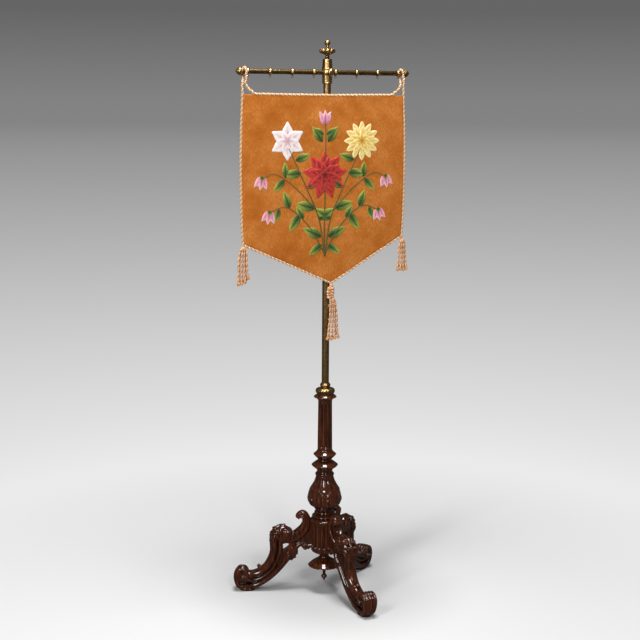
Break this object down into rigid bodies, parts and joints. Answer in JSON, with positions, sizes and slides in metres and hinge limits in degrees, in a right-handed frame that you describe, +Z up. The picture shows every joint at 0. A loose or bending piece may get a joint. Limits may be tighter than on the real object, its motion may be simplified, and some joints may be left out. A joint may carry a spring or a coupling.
{
  "type": "pole screen",
  "caption": "Victorian pole screen: carved tripod stand, sliding brass pole, swivelling head with a cross bar, and a corded velvet banner with tassels that swings on it.",
  "frame": {"origin": "on the floor under the pole's axis", "axes": "+Z up the pole, +X along the cross bar to the viewer's right, -Y towards the side that the banner faces"},
  "size_m": [0.4871, 0.3921, 1.4505],
  "materials": {
    "walnut": "dark polished",
    "aged_brass": "aged lacquered",
    "bright_brass": "polished",
    "velvet": "cut pile",
    "canvas": "stiff buckram",
    "lining": "plain sateen",
    "twisted_cord": "twisted silk and cotton"
  },
  "bodies": {
    "stand": {"leg_left": "walnut", "leg_front": "walnut", "leg_rear": "walnut", "toe_blocks": "walnut", "hub": "walnut", "pendant_disc": "walnut", "pendant_drop": "walnut", "baluster": "walnut", "column": "walnut", "socket_tube": "aged_brass", "ferrule": "aged_brass", "collet": "aged_brass"},
    "lock_nut": {"lock_nut": "aged_brass"},
    "pole": {"pole_tube": "aged_brass", "pivot_plug": "aged_brass"},
    "head": {"head_tee": "bright_brass", "head_cap": "aged_brass", "finial": "aged_brass"},
    "thumb_screw": {"thumb_screw": "bright_brass"},
    "bar": {"bar_rod": "aged_brass", "bar_knops": "bright_brass", "bar_eyes": "aged_brass", "bar_end_left": "aged_brass", "bar_end_right": "aged_brass"},
    "banner": {"velvet_face": "velvet", "interlining": "canvas", "back_lining": "lining", "edge_cord": "twisted_cord", "loop_left": "twisted_cord", "loop_right": "twisted_cord"},
    "tassel_left": {"tassel_left": "twisted_cord"},
    "tassel_middle": {"tassel_middle": "twisted_cord"},
    "tassel_right": {"tassel_right": "twisted_cord"}
  },
  "joints": [
    {"name": "pole_slide", "type": "slide", "parent": "stand", "child": "pole", "axis": [0, 0, 1], "range_m": [-0.1, 0.1]},
    {"name": "nut_turn", "type": "hinge", "parent": "stand", "child": "lock_nut", "pos_m": [0, 0, 0.545], "axis": [0, 0, 1], "range_deg": [0, 270]},
    {"name": "head_swivel", "type": "hinge", "parent": "pole", "child": "head", "pos_m": [0, 0, 1.362], "axis": [0, 0, 1], "continuous": true},
    {"name": "thumb_turn", "type": "hinge", "parent": "head", "child": "thumb_screw", "pos_m": [0, -0.021, 1.37], "axis": [0, -1, 0], "range_deg": [0, 540]},
    {"name": "bar_slide", "type": "slide", "parent": "head", "child": "bar", "axis": [1, 0, 0], "range_m": [-0.004, 0.015]},
    {"name": "banner_swing", "type": "hinge", "parent": "bar", "child": "banner", "pos_m": [-0.007, 0, 1.37], "axis": [-1, 0, 0], "range_deg": [0, 70]},
    {"name": "tassel_left_sway", "type": "hinge", "parent": "banner", "child": "tassel_left", "pos_m": [-0.236, -0.0133, 0.942], "axis": [0, 1, 0], "range_deg": [-4, 20]},
    {"name": "tassel_middle_sway", "type": "hinge", "parent": "banner", "child": "tassel_middle", "pos_m": [0.008, -0.016, 0.834], "axis": [0, 1, 0], "range_deg": [-25, 25]},
    {"name": "tassel_right_sway", "type": "hinge", "parent": "banner", "child": "tassel_right", "pos_m": [0.212, -0.0133, 0.95], "axis": [0, 1, 0], "range_deg": [-20, 4]}
  ]
}
